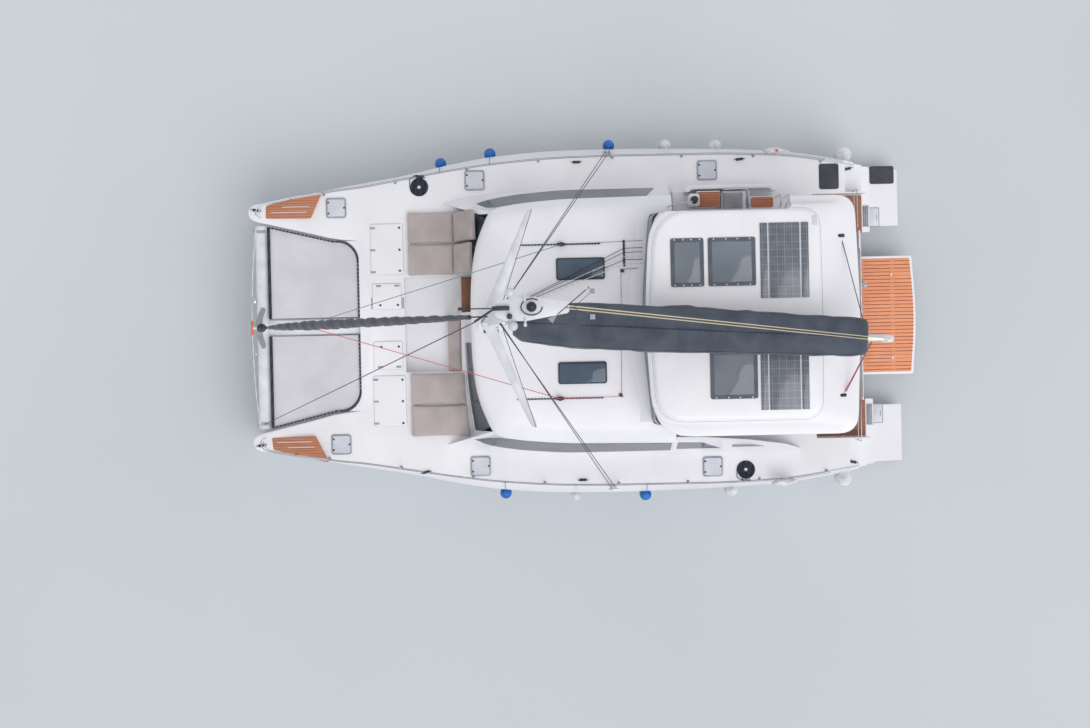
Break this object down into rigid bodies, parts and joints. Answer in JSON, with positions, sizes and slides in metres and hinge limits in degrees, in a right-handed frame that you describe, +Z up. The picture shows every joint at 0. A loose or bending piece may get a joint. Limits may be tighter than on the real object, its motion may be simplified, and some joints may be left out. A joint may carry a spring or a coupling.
{
  "type": "sailing catamaran",
  "caption": "Cruising catamaran with twin hulls, forward cockpit, coachroof, hardtop over the helm, swim platform, and a mast with its sails furled.",
  "frame": {"origin": "on the waterline and the centreline, halfway between the bow tips and the transoms", "axes": "+X towards the bows, +Y to port, +Z up along the height from keels to masthead"},
  "size_m": [15.1331, 7.76, 22.94],
  "materials": {
    "gelcoat": "white gelcoat",
    "antifouling": "matt bottom paint",
    "tinted_pane": "grey tinted",
    "anodised_aluminium": "satin",
    "stainless_steel": "polished",
    "bronze": "cast",
    "acrylic_canvas": "woven",
    "upholstery": "woven vinyl",
    "netting": "knotless net",
    "teak": "oiled",
    "acrylic_lid": "frosted acrylic",
    "solar_cells": "glazed cells"
  },
  "bodies": {
    "boat": {"port_hull": "gelcoat", "starboard_hull": "gelcoat", "port_keel": "antifouling", "starboard_keel": "antifouling", "bridge_deck": "gelcoat", "coachroof": "gelcoat", "front_window_port": "tinted_pane", "front_window_starboard": "tinted_pane", "side_window_port": "tinted_pane", "side_window_starboard": "tinted_pane", "hardtop": "gelcoat", "port_roof_post": "gelcoat", "starboard_roof_post": "gelcoat", "windscreen": "tinted_pane", "port_solar_panel": "solar_cells", "starboard_solar_panel": "solar_cells", "helm_station": "gelcoat", "helm_seat": "upholstery", "cockpit_bench": "upholstery", "cockpit_table": "teak", "saloon_settee": "upholstery", "galley_counter": "gelcoat", "crossbeam": "anodised_aluminium", "port_net": "netting", "starboard_net": "netting", "foredeck_cushion_port": "upholstery", "foredeck_cushion_starboard": "upholstery", "foredeck_bench_cushion": "upholstery", "mast": "anodised_aluminium", "port_shrouds": "stainless_steel", "starboard_shrouds": "stainless_steel", "furled_headsail": "acrylic_canvas", "port_saildrive": "anodised_aluminium", "starboard_saildrive": "anodised_aluminium"},
    "gooseneck": {"gooseneck": "stainless_steel"},
    "boom": {"boom": "anodised_aluminium", "sail_bag": "acrylic_canvas"},
    "port_rudder": {"port_rudder": "antifouling"},
    "port_propeller": {"port_propeller": "bronze"},
    "starboard_rudder": {"starboard_rudder": "antifouling"},
    "starboard_propeller": {"starboard_propeller": "bronze"},
    "helm_wheel": {"helm_wheel": "stainless_steel"},
    "port_bow_hatch": {"port_bow_hatch": "acrylic_lid"},
    "port_mid_hatch": {"port_mid_hatch": "acrylic_lid"},
    "port_aft_hatch": {"port_aft_hatch": "acrylic_lid"},
    "port_roof_hatch": {"port_roof_hatch": "tinted_pane"},
    "starboard_bow_hatch": {"starboard_bow_hatch": "acrylic_lid"},
    "starboard_mid_hatch": {"starboard_mid_hatch": "acrylic_lid"},
    "starboard_aft_hatch": {"starboard_aft_hatch": "acrylic_lid"},
    "starboard_roof_hatch": {"starboard_roof_hatch": "tinted_pane"},
    "starboard_front_skylight": {"starboard_front_skylight": "tinted_pane"},
    "starboard_aft_skylight": {"starboard_aft_skylight": "tinted_pane"},
    "port_skylight": {"port_skylight": "tinted_pane"},
    "port_locker_lid": {"port_locker_lid": "gelcoat"},
    "centre_port_locker_lid": {"centre_port_locker_lid": "gelcoat"},
    "starboard_locker_lid": {"starboard_locker_lid": "gelcoat"},
    "centre_starboard_locker_lid": {"centre_starboard_locker_lid": "gelcoat"},
    "forward_door": {"forward_door": "tinted_pane"},
    "saloon_door": {"saloon_door": "tinted_pane"},
    "swim_platform": {"swim_platform": "teak"}
  },
  "joints": [
    {"name": "boom_swing", "type": "hinge", "parent": "boat", "child": "gooseneck", "pos_m": [1.7, 0, 5], "axis": [0, 0, 1], "range_deg": [-36.3, 43.7]},
    {"name": "boom_lift", "type": "hinge", "parent": "gooseneck", "child": "boom", "pos_m": [1.6052, 0.00613, 5], "axis": [0.0645, 0.9979, 0], "range_deg": [-2, 12]},
    {"name": "port_rudder_turn", "type": "hinge", "parent": "boat", "child": "port_rudder", "pos_m": [-6.18, 2.92, -0.35], "axis": [0, 0, 1], "range_deg": [-35, 35]},
    {"name": "port_propeller_spin", "type": "hinge", "parent": "boat", "child": "port_propeller", "pos_m": [-5.38, 2.93, -0.92], "axis": [1, 0, 0], "continuous": true},
    {"name": "starboard_rudder_turn", "type": "hinge", "parent": "boat", "child": "starboard_rudder", "pos_m": [-6.18, -2.92, -0.35], "axis": [0, 0, 1], "range_deg": [-35, 35]},
    {"name": "starboard_propeller_spin", "type": "hinge", "parent": "boat", "child": "starboard_propeller", "pos_m": [-5.38, -2.93, -0.92], "axis": [1, 0, 0], "continuous": true},
    {"name": "helm_wheel_turn", "type": "hinge", "parent": "boat", "child": "helm_wheel", "pos_m": [-2.56, -1.25, 2.93], "axis": [1, 0, 0], "range_deg": [-420, 420]},
    {"name": "port_bow_hatch_hinge", "type": "hinge", "parent": "boat", "child": "port_bow_hatch", "pos_m": [5.655, 2.64, 1.918], "axis": [0, 1, 0], "range_deg": [0, 80]},
    {"name": "port_mid_hatch_hinge", "type": "hinge", "parent": "boat", "child": "port_mid_hatch", "pos_m": [2.555, 3.19, 1.918], "axis": [0, 1, 0], "range_deg": [0, 80]},
    {"name": "port_aft_hatch_hinge", "type": "hinge", "parent": "boat", "child": "port_aft_hatch", "pos_m": [-2.635, 3.31, 1.918], "axis": [0, 1, 0], "range_deg": [0, 80]},
    {"name": "port_roof_hatch_hinge", "type": "hinge", "parent": "boat", "child": "port_roof_hatch", "pos_m": [0.57, 1.1225, 3.397], "axis": [0, 1, 0], "range_deg": [0, 70]},
    {"name": "starboard_bow_hatch_hinge", "type": "hinge", "parent": "boat", "child": "starboard_bow_hatch", "pos_m": [5.655, -2.64, 1.918], "axis": [0, 1, 0], "range_deg": [0, 80]},
    {"name": "starboard_mid_hatch_hinge", "type": "hinge", "parent": "boat", "child": "starboard_mid_hatch", "pos_m": [2.555, -3.19, 1.918], "axis": [0, 1, 0], "range_deg": [0, 80]},
    {"name": "starboard_aft_hatch_hinge", "type": "hinge", "parent": "boat", "child": "starboard_aft_hatch", "pos_m": [-2.635, -3.31, 1.918], "axis": [0, 1, 0], "range_deg": [0, 80]},
    {"name": "starboard_roof_hatch_hinge", "type": "hinge", "parent": "boat", "child": "starboard_roof_hatch", "pos_m": [0.57, -1.1225, 3.397], "axis": [0, 1, 0], "range_deg": [0, 70]},
    {"name": "starboard_front_skylight_hinge", "type": "hinge", "parent": "boat", "child": "starboard_front_skylight", "pos_m": [-2.18, -1.68, 4.415], "axis": [1, 0, 0], "range_deg": [0, 60]},
    {"name": "starboard_aft_skylight_hinge", "type": "hinge", "parent": "boat", "child": "starboard_aft_skylight", "pos_m": [-3.12, -1.68, 4.415], "axis": [1, 0, 0], "range_deg": [0, 60]},
    {"name": "port_skylight_hinge", "type": "hinge", "parent": "boat", "child": "port_skylight", "pos_m": [-3.12, 1.72, 4.415], "axis": [-1, 0, 0], "range_deg": [0, 60]},
    {"name": "port_locker_lid_hinge", "type": "hinge", "parent": "boat", "child": "port_locker_lid", "pos_m": [4.68, 1.695, 1.915], "axis": [0, 1, 0], "range_deg": [0, 85]},
    {"name": "centre_port_locker_lid_hinge", "type": "hinge", "parent": "boat", "child": "centre_port_locker_lid", "pos_m": [4.34, 0.98, 1.915], "axis": [-1, 0, 0], "range_deg": [0, 85]},
    {"name": "starboard_locker_lid_hinge", "type": "hinge", "parent": "boat", "child": "starboard_locker_lid", "pos_m": [4.68, -1.695, 1.915], "axis": [0, 1, 0], "range_deg": [0, 85]},
    {"name": "centre_starboard_locker_lid_hinge", "type": "hinge", "parent": "boat", "child": "centre_starboard_locker_lid", "pos_m": [4.34, -0.93, 1.915], "axis": [1, 0, 0], "range_deg": [0, 85]},
    {"name": "forward_door_hinge", "type": "hinge", "parent": "boat", "child": "forward_door", "pos_m": [2.395, -1.01, 2.2], "axis": [0, 0, -1], "range_deg": [0, 88]},
    {"name": "saloon_door_slide", "type": "slide", "parent": "boat", "child": "saloon_door", "axis": [0, 1, 0], "range_m": [0, 0.93]},
    {"name": "platform_lift", "type": "slide", "parent": "boat", "child": "swim_platform", "axis": [0, 0, 1], "range_m": [-0.55, 0.25]}
  ],
  "couplings": [
    {"joint": "starboard_rudder_turn", "follows": "port_rudder_turn", "ratio": 1},
    {"joint": "helm_wheel_turn", "follows": "port_rudder_turn", "ratio": 12}
  ]
}
